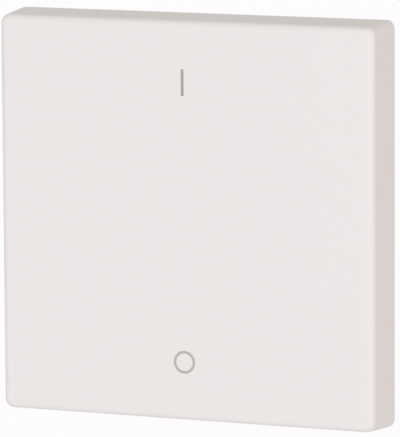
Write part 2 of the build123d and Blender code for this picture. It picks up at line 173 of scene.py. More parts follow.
class SwitchColours(bpy.types.PropertyGroup):
    """Colours of the switch's finishes."""

    rocker: colour("Rocker", "Satin white of the rocker", (0.83, 0.80, 0.79))
    ink: colour("Ink", "Grey of the printed marks", (0.38, 0.345, 0.34))
    plate: colour("Wall plate", "Matt grey of the wall plate", (0.62, 0.63, 0.64))
    housing: colour("Housing", "Off-white of the module's two shells", (0.72, 0.72, 0.71))
    plunger: colour("Plungers", "Natural plastic of the plungers", (0.78, 0.77, 0.71))
    rubber: colour("Contact caps", "Black of the conducting caps", (0.03, 0.03, 0.03))
    board: colour("Board", "Green of the solder mask", (0.03, 0.18, 0.09))
    pads: colour("Pads", "Plating of the contact pads", (0.80, 0.62, 0.28))
    resin: colour("Chips", "Black of the chips' bodies", (0.03, 0.03, 0.03))
    ceramic: colour("Capacitors", "Tan of the capacitors' bodies", (0.35, 0.24, 0.15))
    tin: colour("Tin", "Tinned leads, ends and antenna", (0.68, 0.68, 0.67))
    crystal: colour("Crystal", "Metal can of the crystal", (0.70, 0.70, 0.71))
    cell: colour("Coin cell", "Nickel plate of the coin cell", (0.66, 0.66, 0.65))
    contacts: colour("Cell contacts", "Spring strip of the cell's contacts", (0.70, 0.68, 0.62))
    screws: colour("Screws", "Zinc plate of the screws", (0.60, 0.60, 0.60))
    springs: colour("Springs", "Drawn wire of the return springs", (0.58, 0.58, 0.57))


class SwitchMarks(bpy.types.PropertyGroup):
    """Sizes and places of the printed marks and of the cell's plus sign."""

    bar_shift: length("Bar shift", "How far right of the middle the on bar is printed", -0.23)
    bar_rise: length("Bar rise", "Height of the on bar's middle above the pivot", 18.83)
    bar_length: length("Bar length", "Length of the on bar", 3.6, min=0.0)
    bar_width: length("Bar width", "Width of the on bar", 0.39, min=0.0)
    ring_shift: length("Ring shift", "How far right of the middle the off ring is printed", -0.15)
    ring_drop: length("Ring drop", "Depth of the off ring's middle below the pivot", 19.19)
    ring_width: length("Ring width", "Outer width of the off ring", 3.12, min=0.0)
    ring_line: length("Ring line", "Width of the off ring's line", 0.36, min=0.0)
    ring_cover: share("Ring cover", "How well the ring's ink hides the face", 0.76)
    ink_depth: length("Ink depth", "How far the ink stands on the rocker's face", 0.015, min=0.0)
    plus_rise: length("Plus rise", "Height of the cell's plus sign above its middle", 5.6)
    plus_width: length("Plus width", "Width of the cell's plus sign", 2.6, min=0.0)
    plus_line: length("Plus line", "Width of the plus sign's bars", 0.55, min=0.0)
    plus_depth: length("Plus depth", "How far the plus sign stands on the cell", 0.03, min=0.0)


class SwitchBoard(bpy.types.PropertyGroup):
    """Sizes of the radio chip's and the capacitors' details."""

    chip_edge: length("Chip edge", "Bevel round the radio chip's face", 0.08, min=0.0)
    dot_inset: length("Dot inset", "From the radio chip's sides to its dot", 0.8, min=0.0)
    dot_radius: length("Dot radius", "Radius of the dot by the first pad", 0.3, min=0.0)
    dot_depth: length("Dot depth", "Depth of the dot by the first pad", 0.06, min=0.0)
    pad_pitch: length("Pad pitch", "Distance between two of the chip's pads", 0.5, min=0.0001)
    pad_height: length("Pad height", "Height of the pads on the chip's sides", 0.2, min=0.0)
    pad_margin: length("Pad margin", "From the chip's corners to its pads", 0.5, min=0.0)
    part_length: length("Capacitor length", "Length of one capacitor", 1.6, min=0.0)
    part_width: length("Capacitor width", "Width and height of one capacitor", 0.8, min=0.0)
    part_edge: length("Capacitor edge", "Rounding of a capacitor's edges", 0.06, min=0.0)
    end_length: length("End length", "Length of a capacitor's tinned end", 0.3, min=0.0)
    end_step: length("End step", "How far a tinned end stands proud", 0.02, min=0.0)


class SwitchScrews(bpy.types.PropertyGroup):
    """Sizes of the housing screws' heads, recesses and threads."""

    head_radius: length("Head radius", "Radius of the head", 1.8, min=0.0)
    head_height: length("Head height", "Height of the head", 0.9, min=0.0)
    head_edge: length("Head edge", "Bevel round the head's face", 0.2, min=0.0)
    shank_radius: length("Shank radius", "Radius of the thread's crest", 1.0, min=0.0)
    thread_depth: length("Thread depth", "Depth of the thread", 0.22, min=0.0)
    thread_pitch: length("Thread pitch", "Distance between two turns", 0.8, min=0.0001)
    tip_length: length("Tip length", "Length of the tapered tip", 0.8, min=0.0)
    recess_reach: length("Recess reach", "Length of a recess arm from the middle", 1.05, min=0.0)
    recess_width: length("Recess width", "Width of a recess arm", 0.5, min=0.0)
    recess_depth: length("Recess depth", "Depth of the cross recess", 0.5, min=0.0)
    seed: IntProperty(
        name="Seed", description="Seed for how far each screw is turned", default=4, min=0
    )


class SwitchStage(bpy.types.PropertyGroup):
    """Camera, floor and light."""

    yaw: angle("Yaw", "How far the camera stands to the right", 22.7805)
    pitch: angle("Pitch", "How far the camera stands above", 8.1719)
    roll: angle("Roll", "How far the camera is turned about its view", -0.3281)
    distance: length("Distance", "From the camera to the rim's middle", 661.92, min=0.1)
    focal_pixels: FloatProperty(
        name="Focal length",
        description="The lens's focal length in pixels of the picture",
        default=4872.09,
    )
    aim_right: length("Aim right", "How far right of the rim's middle the camera looks", -0.678)
    aim_up: length("Aim up", "How far above the rim's middle the camera looks", -0.51)
    floor_drop: length("Floor drop", "From the switch's lowest edge to the floor", 30.0, min=0.0)
    floor_radius: length("Floor radius", "Radius of the floor", 450.0, min=0.0)
    floor_colour: colour("Floor", "Pale colour of the floor", (0.88, 0.88, 0.88))
    floor_glow: colour(
        "Floor glow", "What the floor shows on top of its own light", (0.41, 0.407, 0.437)
    )
    backdrop: colour(
        "Backdrop", "White that the camera sees behind the switch", (0.991, 0.974, 0.982)
    )
    tent: colour("Tent", "Light from all round", (0.810, 0.717, 0.711))
    tent_above: colour(
        "Tent above", "How much less light comes from straight above", (0.181, 0.095, 0.133)
    )
    tent_below: colour(
        "Tent below", "How much less light comes from straight below", (0.13, 0.03, 0.05)
    )
    tent_left: colour(
        "Tent left", "How much less light comes from straight left", (0.24, 0.16, 0.145)
    )
    lamp_colour: colour("Lamp colour", "Colour of the soft lamp in front", (0.896, 1.000, 1.053))
    lamp_power: watts("Lamp power", "Power of the soft lamp in front", 3.171)
    lamp_side: length("Lamp side", "Width and height of the lamp in front", 540.0, min=0.0)
    lamp_right: length("Lamp right", "How far right of the switch the lamp hangs", 207.0)
    lamp_up: length("Lamp up", "How far above the switch the lamp hangs", 54.0)
    lamp_front: length("Lamp front", "How far in front of the switch the lamp hangs", 900.0)
    rear_colour: colour(
        "Rear lamp colour", "Colour of the soft lamp behind", (0.784, 1.000, 1.051)
    )
    rear_power: watts("Rear lamp power", "Power of the soft lamp behind", 2.0)
    rear_side: length("Rear lamp side", "Width and height of the lamp behind", 150.0, min=0.0)
    rear_back: length("Rear lamp back", "How far behind the switch the lamp stands", 900.0)
    rear_down: length("Rear lamp down", "How far below the switch the lamp stands", 150.0)


class Shade:
    """A node's socket that Python's operators work on. Each operator adds a Math node."""

    def __init__(self, socket):
        self.socket = socket
        self.tree = socket.id_data

    def add(self, kind, settings, sockets, result=0):
        """Add a node of that type: its settings first, then the values or links of its sockets."""
        node = self.tree.nodes.new(kind)
        for name, setting in settings.items():
            setattr(node, name, setting)
        for key, source in sockets.items():
            if isinstance(source, Shade):
                self.tree.links.new(source.socket, node.inputs[key])
            else:
                node.inputs[key].default_value = source
        return Shade(node.outputs[result])

    def feed(self, socket):
        """Link this socket to a shader's input."""
        self.tree.links.new(self.socket, socket)

    def math(self, operation, first, second=0.0):
        """A Math node on two values."""
        return self.add("ShaderNodeMath", {"operation": operation}, {0: first, 1: second})

    def __add__(self, other):
        return self.math("ADD", self, other)

    __radd__ = __add__

    def __sub__(self, other):
        return self.math("SUBTRACT", self, other)

    def __rsub__(self, other):
        return self.math("SUBTRACT", other, self)

    def __mul__(self, other):
        return self.math("MULTIPLY", self, other)

    __rmul__ = __mul__

    def __abs__(self):
        return self.math("ABSOLUTE", self)

    def __gt__(self, other):
        return self.math("GREATER_THAN", self, other)

    def at_least(self, least):
        """This value, but nothing below that."""
        return self.math("MAXIMUM", self, least)

    def at_most(self, most):
        """This value, but nothing above that."""
        return self.math("MINIMUM", self, most)

    def mixed(self, other, part):
        """This value with that part of another in it."""
        return (1.0 - part) * self + part * other

    def about(self, level, spread):
        """This noise as values that vary about a level."""
        return level + spread * (self - 0.5)

    def step(self, low, high):
        """0 below low, 1 above high and smooth between them."""
        settings = {"interpolation_type": "SMOOTHSTEP"}
        return self.add("ShaderNodeMapRange", settings, {0: self, 1: low, 2: high})

    def stripes(self, pitch):
        """0 and 1 in turn, each over half a pitch."""
        return self.math("PINGPONG", self, pitch / 2) > pitch / 4

    def blend(self, first, second):
        """A colour between two, by this factor."""
        sockets = {0: self, 6: opaque(first), 7: opaque(second)}
        return self.add("ShaderNodeMix", {"data_type": "RGBA"}, sockets, 2)

    def tones(self, tint, darkest, lightest):
        """A colour between two tones of a tint, by this factor."""
        return self.blend(toned(tint, darkest), toned(tint, lightest))

    def tinted(self, tint):
        """This value times a colour."""
        return self.add("ShaderNodeVectorMath", {"operation": "SCALE"}, {0: tint, "Scale": self})

    def plus(self, other):
        """The sum of two colours or vectors."""
        return self.add("ShaderNodeVectorMath", {"operation": "ADD"}, {0: self, 1: other})

    def axis(self, name):
        """One coordinate of a vector."""
        return self.add("ShaderNodeSeparateXYZ", {}, {0: self}, "XYZ".index(name))

    def reach(self):
        """The length of a vector."""
        return self.add("ShaderNodeVectorMath", {"operation": "LENGTH"}, {0: self}, "Value")

    def scaled(self, scale):
        """Coordinates scaled along the axes."""
        return self.add("ShaderNodeMapping", {}, {"Vector": self, "Scale": scale})

    def noise(self, size, detail=2.0):
        """Soft noise with spots of about that size."""
        sockets = {"Vector": self, "Scale": 1.0 / size, "Detail": detail}
        return self.add("ShaderNodeTexNoise", {}, sockets)

    def bump(self, depth):
        """A normal from this height."""
        return self.add("ShaderNodeBump", {}, {"Height": self, "Strength": 1.0, "Distance": depth})


def opaque(tint):
    """A colour with full alpha, or a socket as it is."""
    return tint if isinstance(tint, Shade) else (*tint, 1.0)


def toned(tint, factor):
    """A colour made lighter or darker."""
    return tuple(part * factor for part in tint)


def start_finish(name):
    """A new material, its shader's sockets and the piece's own coordinates."""
    material = bpy.data.materials.new(name)
    material.use_nodes = True
    nodes = material.node_tree.nodes
    place = Shade(nodes.new("ShaderNodeTexCoord").outputs["Object"])
    return material, nodes["Principled BSDF"].inputs, place


def moulding(name, tint, roughness, grain, grain_depth, clouding, gloss=0.5):
    """Moulded plastic: faint clouding, a fine grain and slightly uneven gloss."""
    material, shader, place = start_finish(name)
    cloud = place.noise(size=6.0 * MM)
    fine = place.noise(grain, detail=3.0)
    cloud.tones(tint, 1.0 - clouding, 1.0 + clouding).feed(shader["Base Color"])
    fine.about(roughness, spread=0.08).feed(shader["Roughness"])
    fine.bump(grain_depth).feed(shader["Normal"])
    shader["Specular IOR Level"].default_value = gloss
    return material


def pad_print(name, tint):
    """Thin matt ink that thins out a little in places."""
    material, shader, place = start_finish(name)
    cover = place.noise(size=0.25 * MM, detail=3.0)
    cover.tones(tint, darkest=0.94, lightest=1.06).feed(shader["Base Color"])
    cover.about(level=0.6, spread=0.1).feed(shader["Roughness"])
    return material


def metal(name, tint, roughness, streaks):
    """Plain metal with fine streaks, which run along the axes with the smallest scale."""
    material, shader, place = start_finish(name)
    shader["Metallic"].default_value = 1.0
    line = place.scaled(streaks).noise(size=0.1 * MM, detail=4.0)
    stain = place.noise(size=2.0 * MM)
    mottle = line.mixed(stain, part=0.5)
    mottle.tones(tint, darkest=0.88, lightest=1.08).feed(shader["Base Color"])
    line.about(roughness, spread=0.16).feed(shader["Roughness"])
    line.bump(depth=0.001 * MM).feed(shader["Normal"])
    return material


def spun_nickel(name, tint):
    """Nickel plate with fine rings about the cell's middle."""
    ring_width = 0.08 * MM
    material, shader, place = start_finish(name)
    shader["Metallic"].default_value = 1.0
    radius = place.scaled((1.0, 0.0, 1.0)).reach()
    sockets = {"W": radius, "Scale": 1.0 / ring_width, "Detail": 3.0}
    ring = radius.add("ShaderNodeTexNoise", {"noise_dimensions": "1D"}, sockets)
    stain = place.noise(size=3.0 * MM)
    mottle = ring.mixed(stain, part=0.4)
    mottle.tones(tint, darkest=0.84, lightest=1.1).feed(shader["Base Color"])
    ring.about(level=0.3, spread=0.2).feed(shader["Roughness"])
    ring.bump(depth=0.002 * MM).feed(shader["Normal"])
    return material


def solder_mask(name, tint):
    """Lacquer over a board's straight tracks, which show as lighter lines."""
    track_spacing = 3.6 * MM
    material, shader, place = start_finish(name)
    sockets = {"Vector": place, "Scale": 1.0 / track_spacing}
    nearest, next_one = (
        place.add("ShaderNodeTexVoronoi", {"feature": rank, "distance": "MANHATTAN"}, sockets)
        for rank in ("F1", "F2")
    )
    track = 1.0 - (next_one - nearest).step(low=0.05, high=0.08)
    weave = place.noise(size=0.2 * MM)
    ground = weave.tones(tint, darkest=0.85, lightest=1.15)
    track.blend(ground, toned(tint, factor=1.6)).feed(shader["Base Color"])
    weave.about(level=0.32, spread=0.1).feed(shader["Roughness"])
    track.bump(depth=0.02 * MM).feed(shader["Normal"])
    return material


def tinned_body(name, body, tin, on_tin, body_roughness):
    """A small part with a moulded body and tinned places, where the mask on_tin is 1."""
    end_polish = 0.2
    material, shader, place = start_finish(name)
    ends = on_tin(place)
    speckle = place.noise(size=0.12 * MM, detail=3.0)
    resin = speckle.tones(body, darkest=0.8, lightest=1.25)
    ends.blend(resin, tin).feed(shader["Base Color"])
    ends.feed(shader["Metallic"])
    uneven = speckle.about(body_roughness, spread=0.15)
    (uneven - end_polish * ends).feed(shader["Roughness"])
    speckle.bump(depth=0.004 * MM).feed(shader["Normal"])
    return material


def radio_pads(sizes):
    """A mask that is 1 on the pads along the radio chip's sides."""
    middle = (RADIO_LOW + RADIO_HIGH) / 2
    half = (RADIO_HIGH.x - RADIO_LOW.x) / 2

    def two_sides(along, away):
        row = along.stripes(sizes.pad_pitch) * (1.0 - (abs(along) > half - sizes.pad_margin))
        return row * (abs(away) > half - sizes.chip_edge)

    def on_pads(place):
        across, up = place.axis("X") - middle.x, place.axis("Z") - middle.z
        pads = two_sides(across, up) + two_sides(up, across)
        return pads * (place.axis("Y") > RADIO_HIGH.y - sizes.pad_height)

    return on_pads


def memory_leads():
    """A mask that is 1 on the memory chip's leads."""
    middle = (MEMORY_LOW.x + MEMORY_HIGH.x) / 2
    lead_start = MEMORY_BODY_OF_WIDTH * (MEMORY_HIGH.x - MEMORY_LOW.x) / 2

    def on_leads(place):
        return abs(place.axis("X") - middle) > lead_start

    return on_leads


def capacitor_ends(sizes):
    """A mask that is 1 on the ends of the capacitors in both columns."""
    middle = (CAPACITORS_LOW.x + CAPACITORS_HIGH.x) / 2
    column = (CAPACITORS_HIGH.x - CAPACITORS_LOW.x - sizes.part_length) / 2
    end_start = sizes.part_length / 2 - sizes.end_length

    def on_ends(place):
        return abs(abs(place.axis("X") - middle) - column) > end_start

    return on_ends


def dress(material, *names):
    """Give CAD nodes a finish."""
    for name in names:
        NODES[name].data.materials.clear()
        NODES[name].data.materials.append(material)


def new_piece(name, shape, material):
    """Turn a bmesh into an object with that finish."""
    bmesh.ops.recalc_face_normals(shape, faces=shape.faces)
    mesh = bpy.data.meshes.new(name)
    shape.to_mesh(mesh)
    shape.free()
    mesh.shade_smooth()
    mesh.set_sharp_from_angle(angle=SHARP_EDGE)
    mesh.materials.append(material)
    piece = bpy.data.objects.new(name, mesh)
    bpy.context.scene.collection.objects.link(piece)
    return piece


def ring_at(shape, points, depth):
    """New points of a mesh along an outline across the wall, at that depth."""
    return [shape.verts.new((x, depth, z)) for x, z in points]


def edges_of(shape, ring):
    """New edges that close a ring of points."""
    return [shape.edges.new((ring[here - 1], ring[here])) for here in range(len(ring))]


def prism(outline, rear, front):
    """A closed block with that outline across the wall, from one depth to another."""
    shape = bmesh.new()
    rings = [ring_at(shape, outline, depth) for depth in (rear, front)]
    for ring in rings:
        shape.faces.new(ring)
    join_rings(shape, rings)
    return shape


def join_rings(shape, rings):
    """Close the gaps between rings of equal length with four-sided faces."""
    for lower, upper in zip(rings, rings[1:]):
        for here in range(len(lower)):
            after = (here + 1) % len(lower)
            shape.faces.new((lower[here], lower[after], upper[after], upper[here]))


def arc(middle, radius, start, end, steps):
    """Points along an arc, with angles in degrees."""
    turns = [radians(start + (end - start) * step / steps) for step in range(steps + 1)]
    return [(middle[0] + radius * cos(turn), middle[1] + radius * sin(turn)) for turn in turns]


def rounded(middle, width, height, corner):
    """A rectangle with rounded corners."""
    x, z = width / 2 - corner, height / 2 - corner
    points = []
    for start, across, along in ((0, x, z), (90, -x, z), (180, -x, -z), (270, x, -z)):
        bend = (middle[0] + across, middle[1] + along)
        points += arc(bend, corner, start, start + 90, CORNER_STEPS)
    return points


def cross_outline(middle, reach, width):
    """A cross with four equal arms."""
    half = width / 2
    arm = [(reach, -half), (reach, half), (half, half)]
    points = []
    for quarter in range(4):
        turn = Matrix.Rotation(quarter * pi / 2, 2)
        points += [Vector(middle) + turn @ Vector(point) for point in arm]
    return [(point.x, point.y) for point in points]


def circle(middle, radius, steps):
    """Points round a full circle."""
    return arc(middle, radius, 0, 360 - 360 / steps, steps - 1)


def ring_block(middle, inner, outer, rear, front):
    """A flat ring that faces the room."""
    shape = bmesh.new()
    rings = []
    for radius, depth in ((inner, rear), (outer, rear), (outer, front), (inner, front)):
        rings.append(ring_at(shape, circle(middle, radius, CIRCLE_STEPS), depth))
    join_rings(shape, [*rings, rings[0]])
    return shape


def radio_block(sizes):
    """The radio chip's body, with a bevelled face and a dot by its first pad."""
    shape = bmesh.new()
    low, high, edge = RADIO_LOW, RADIO_HIGH, sizes.chip_edge
    middle = ((low.x + high.x) / 2, (low.z + high.z) / 2)
    width, height = high.x - low.x, high.z - low.z
    outline = rounded(middle, width, height, edge)
    rear = ring_at(shape, outline, high.y)
    shoulder = ring_at(shape, outline, low.y + edge)
    inner = rounded(middle, width - 2 * edge, height - 2 * edge, edge)
    face = ring_at(shape, inner, low.y)
    spot = (low.x + sizes.dot_inset, high.z - sizes.dot_inset)
    dot = circle(spot, sizes.dot_radius, SMALL_STEPS)
    mouth = ring_at(shape, dot, low.y)
    bottom = ring_at(shape, dot, low.y + sizes.dot_depth)
    loops = edges_of(shape, face) + edges_of(shape, mouth)
    bmesh.ops.triangle_fill(shape, use_beauty=True, edges=loops)
    join_rings(shape, [rear, shoulder, face])
    join_rings(shape, [mouth, bottom])
    shape.faces.new(rear)
    shape.faces.new(bottom)
    return shape


def capacitor_block(sizes):
    """One capacitor along X, about the origin, whose tinned ends stand proud of its body."""
    shape = bmesh.new()
    half, side, edge = sizes.part_length / 2, sizes.part_width / 2, sizes.part_edge
    end_start = half - sizes.end_length
    near = [
        (half, side - edge),
        (half - edge, side),
        (end_start, side),
        (end_start - sizes.end_step, side - sizes.end_step),
    ]
    far = [(-along, reach) for along, reach in reversed(near)]
    rings = []
    for along, reach in near + far:
        outline = rounded((0.0, 0.0), 2 * reach, 2 * reach, edge)
        rings.append([shape.verts.new((along, y, z)) for y, z in outline])
    join_rings(shape, rings)
    shape.faces.new(rings[0])
    shape.faces.new(rings[-1])
    return shape


def thread_radius(sizes, shank, along, turned):
    """The shank's radius at a place along it, after that share of a turn."""
    phase = (along / sizes.thread_pitch - turned) % 1.0
    crest = max(0.0, 1.0 - CREST_SLOPE * abs(phase - 0.5))
    taper = min(1.0, SCREW_TIP_OF_SHANK + (shank - along) / sizes.tip_length)
    return taper * (sizes.shank_radius - sizes.thread_depth * (1.0 - crest))


def screw_block(sizes, total):
    """One screw along Y: its face at the origin, its shank towards the room."""
    shape = bmesh.new()
    centre = (0.0, 0.0)

    # Face with its cross recess
    face_radius = sizes.head_radius - sizes.head_edge
    face = ring_at(shape, circle(centre, face_radius, SMALL_STEPS), 0.0)
    cross = cross_outline(centre, sizes.recess_reach, sizes.recess_width)
    mouth = ring_at(shape, cross, 0.0)
    smaller = [(RECESS_FLOOR_OF_MOUTH * x, RECESS_FLOOR_OF_MOUTH * z) for x, z in cross]
    bottom = ring_at(shape, smaller, -sizes.recess_depth)
    loops = edges_of(shape, face) + edges_of(shape, mouth)
    bmesh.ops.triangle_fill(shape, use_beauty=True, edges=loops)
    join_rings(shape, [mouth, bottom])
    shape.faces.new(bottom)

    # Head, and a shank whose thread rises and falls along its turns
    rings = [face]
    for depth in (sizes.head_edge, sizes.head_height):
        rim = circle(centre, sizes.head_radius, SMALL_STEPS)
        rings.append(ring_at(shape, rim, -depth))
    shank = total - sizes.head_height
    levels = round(THREAD_STEPS * shank / sizes.thread_pitch)
    for level in range(levels + 1):
        along = shank * level / levels
        points = []
        for step in range(SMALL_STEPS):
            turn = 2 * pi * step / SMALL_STEPS
            radius = thread_radius(sizes, shank, along, step / SMALL_STEPS)
            points.append((radius * cos(turn), radius * sin(turn)))
        rings.append(ring_at(shape, points, -sizes.head_height - along))
    join_rings(shape, rings)
    shape.faces.new(rings[-1])
    return shape


def piece_grid():
    """Geometry nodes that set a piece at each point of an upright grid, each turned its own way."""
    tree = bpy.data.node_groups.new("piece_grid", "GeometryNodeTree")
    kinds = {
        "Piece": "Geometry",
        "Width": "Float",
        "Height": "Float",
        "Columns": "Int",
        "Rows": "Int",
        "Seat": "Vector",
        "Most turn": "Float",
        "Seed": "Int",
        "Finish": "Material",
    }
    for name, kind in kinds.items():
        tree.interface.new_socket(name, in_out="INPUT", socket_type="NodeSocket" + kind)
    tree.interface.new_socket("Pieces", in_out="OUTPUT", socket_type="NodeSocketGeometry")
    inputs = tree.nodes.new("NodeGroupInput").outputs
    given = {name: Shade(inputs[name]) for name in kinds}
    piece = given["Piece"]
    sockets = {
        "Size X": given["Width"],
        "Size Y": given["Height"],
        "Vertices X": given["Columns"],
        "Vertices Y": given["Rows"],
    }
    points = piece.add("GeometryNodeMeshGrid", {}, sockets)
    sockets = {"Geometry": points, "Translation": given["Seat"], "Rotation": (pi / 2, 0.0, 0.0)}
    points = piece.add("GeometryNodeTransform", {}, sockets)
    sockets = {2: 0.0, 3: given["Most turn"], "Seed": given["Seed"]}
    turn = piece.add("FunctionNodeRandomValue", {}, sockets, 1)
    turned = piece.add("ShaderNodeCombineXYZ", {}, {"Y": turn})
    sockets = {"Points": points, "Instance": piece, "Rotation": turned}
    pieces = piece.add("GeometryNodeInstanceOnPoints", {}, sockets)
    pieces = piece.add("GeometryNodeRealizeInstances", {}, {0: pieces})
    sockets = {"Geometry": pieces, "Material": given["Finish"]}
    pieces = piece.add("GeometryNodeSetMaterial", {}, sockets)
    pieces.feed(tree.nodes.new("NodeGroupOutput").inputs["Pieces"])
    return tree


def set_in_grid(piece, given):
    """Repeat a piece over a grid and keep the result as its mesh."""
    grid = piece.modifiers.new("piece_grid", "NODES")
    grid.node_group = piece_grid()
    for socket in grid.node_group.interface.items_tree:
        if socket.name in given:
            grid[socket.identifier] = given[socket.name]
    evaluated = piece.evaluated_get(bpy.context.evaluated_depsgraph_get())
    single, piece.data = piece.data, bpy.data.meshes.new_from_object(evaluated)
    piece.modifiers.clear()
    bpy.data.meshes.remove(single)


def seat_spring(node, wire):
    """A copy of a spring's node, with that finish, in the node's place."""
    shape = bmesh.new()
    shape.from_mesh(NODES[node].data)
    bmesh.ops.remove_doubles(shape, verts=shape.verts, dist=WELD)
    coil = new_piece(node + "_coil", shape, wire)
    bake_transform(coil)
    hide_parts(node)


def seen_directly(tree):
    """1 for rays from the camera, from gloss and through glass, and 0 for the light itself."""
    rays = tree.nodes.new("ShaderNodeLightPath").outputs
    kinds = ("Is Camera Ray", "Is Glossy Ray", "Is Transmission Ray")
    camera, gloss, glass = (Shade(rays[kind]) for kind in kinds)
    return camera + gloss + glass


def light_tent(stage):
    """A white world that lights from all round, and less from above, below and the left."""
    world = bpy.data.worlds.new("light_tent")
    world.use_nodes = True
    tree = world.node_tree
    tree.nodes.clear()
    towards = Shade(tree.nodes.new("ShaderNodeTexCoord").outputs["Generated"])
    height = towards.axis("Z")
    above = height.at_least(0.0).tinted(toned(stage.tent_above, -1.0))
    below = height.at_most(0.0).tinted(stage.tent_below)
    left = towards.axis("X").at_most(0.0).tinted(stage.tent_left)
    glow = above.plus(below).plus(left).plus(stage.tent)
    light = towards.add("ShaderNodeBackground", {}, {"Color": glow})
    white = towards.add("ShaderNodeBackground", {}, {"Color": opaque(stage.backdrop)})
    seen = towards.add("ShaderNodeMixShader", {}, {0: seen_directly(tree), 1: light, 2: white})
    seen.feed(tree.nodes.new("ShaderNodeOutputWorld").inputs["Surface"])
    return world


def floor_paint(stage):
    """Pale floor that looks white, keeps shadows, fades out at its edge and is clear from below."""
    material = bpy.data.materials.new("floor_paint")
    material.use_nodes = True
    tree = material.node_tree
    tree.nodes.clear()
    place = Shade(tree.nodes.new("ShaderNodeTexCoord").outputs["Object"])
    radius = place.scaled((1.0, 1.0, 0.0)).reach()
    paint = place.add("ShaderNodeBsdfDiffuse", {}, {"Color": opaque(stage.floor_colour)})
    sockets = {"Color": opaque(stage.floor_glow), "Strength": seen_directly(tree)}
    glow = place.add("ShaderNodeEmission", {}, sockets)
    lit = place.add("ShaderNodeAddShader", {}, {0: paint, 1: glow})
    clear = place.add("ShaderNodeBsdfTransparent", {}, {})
    edge = radius.step(FADE_START_OF_FLOOR * stage.floor_radius, stage.floor_radius)
    under = Shade(tree.nodes.new("ShaderNodeNewGeometry").outputs["Backfacing"])
    hidden = edge.at_least(under)
    faded = place.add("ShaderNodeMixShader", {}, {0: hidden, 1: lit, 2: clear})
    faded.feed(tree.nodes.new("ShaderNodeOutputMaterial").inputs["Surface"])
    return material


def lay_floor(stage):
    """A round floor below the switch, which leaves the light on the switch as it is."""
    shape = bmesh.new()
    bmesh.ops.create_circle(
        shape, cap_ends=True, segments=CIRCLE_STEPS, radius=stage.floor_radius
    )
    drop = (0.0, 0.0, LOWEST_Z - stage.floor_drop)
    bmesh.ops.translate(shape, verts=shape.verts, vec=drop)
    floor = new_piece("floor", shape, floor_paint(stage))
    floor.visible_diffuse = False
    floor.visible_shadow = False


def hang_lamp(name, place, side, power, tint):
    """A square soft lamp, turned to the switch's middle."""
    lamp = bpy.data.lights.new(name, "AREA")
    lamp.energy = power
    lamp.color = tint
    lamp.size = side
    hung = bpy.data.objects.new(name, lamp)
    facing = place.to_track_quat("Z", "Y").to_matrix().to_4x4()
    hung.matrix_world = Matrix.Translation(place) @ facing
    hung.visible_camera = False
    bpy.context.scene.collection.objects.link(hung)
    return hung


def light_switch(stage):
    """A lamp in front, and one behind that metal doesn't mirror."""
    front = Vector((stage.lamp_right, -stage.lamp_front, stage.lamp_up))
    hang_lamp("front_lamp", front, stage.lamp_side, stage.lamp_power, stage.lamp_colour)
    rear = Vector((0.0, stage.rear_back, -stage.rear_down))
    lamp = hang_lamp("rear_lamp", rear, stage.rear_side, stage.rear_power, stage.rear_colour)
    lamp.visible_glossy = False


def place_camera(stage):
    """Set the camera at the photograph's angle."""
    middle = Vector((0.0, RIM_Y, 0.0))
    side = Vector((sin(stage.yaw), -cos(stage.yaw), 0.0))
    back = side * cos(stage.pitch) + Vector((0.0, 0.0, sin(stage.pitch)))
    level = Vector((cos(stage.yaw), sin(stage.yaw), 0.0))
    right = Matrix.Rotation(stage.roll, 3, back) @ level
    eye = middle + stage.distance * back
    aim = middle + stage.aim_right * right + stage.aim_up * back.cross(right)
    back = (eye - aim).normalized()
    right = (right - right.dot(back) * back).normalized()
    lens = bpy.data.cameras.new("photo_camera")
    lens.sensor_width = SENSOR
    lens.lens = stage.focal_pixels * SENSOR / PICTURE_HEIGHT
    camera = bpy.data.objects.new("photo_camera", lens)
    facing = Matrix((right, back.cross(right), back)).transposed().to_4x4()
    camera.matrix_world = Matrix.Translation(eye) @ facing
    bpy.context.scene.collection.objects.link(camera)
    bpy.context.scene.camera = camera


class SWITCH_OT_finish_rocker(bpy.types.Operator):
    """Give the rocker its satin white plastic"""

    bl_idname = "switch.finish_rocker"
    bl_label = "Finish the rocker"

    def execute(self, context):
        satin = moulding(
            "rocker_satin",
            context.scene.switch_colours.rocker,
            roughness=0.6,
            grain=0.12 * MM,
            grain_depth=0.0006 * MM,
            clouding=0.002,
            gloss=0.25,
        )
        dress(satin, "rocker")
        return {"FINISHED"}


class SWITCH_OT_print_marks(bpy.types.Operator):
    """Print the on bar and the off ring on the rocker's face"""

    bl_idname = "switch.print_marks"
    bl_label = "Print the marks"

    def execute(self, context):
        marks = context.scene.switch_marks
        colours = context.scene.switch_colours
        rear, front = FACE_Y + marks.ink_depth, FACE_Y - marks.ink_depth
        middle = (marks.bar_shift, marks.bar_rise)
        corner = BAR_CORNER_OF_WIDTH * marks.bar_width
        outline = rounded(middle, marks.bar_width, marks.bar_length, corner)
        block = prism(outline, rear, front)
        bar = new_piece("on_mark", block, pad_print("bar_ink", colours.ink))
        middle = (marks.ring_shift, -marks.ring_drop)
        outer = marks.ring_width / 2
        block = ring_block(middle, outer - marks.ring_line, outer, rear, front)
        thin = Vector(colours.rocker).lerp(Vector(colours.ink), marks.ring_cover)
        ring = new_piece("off_mark", block, pad_print("ring_ink", thin))
        for mark in (bar, ring):
            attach(mark, "rocker_cap")
        return {"FINISHED"}


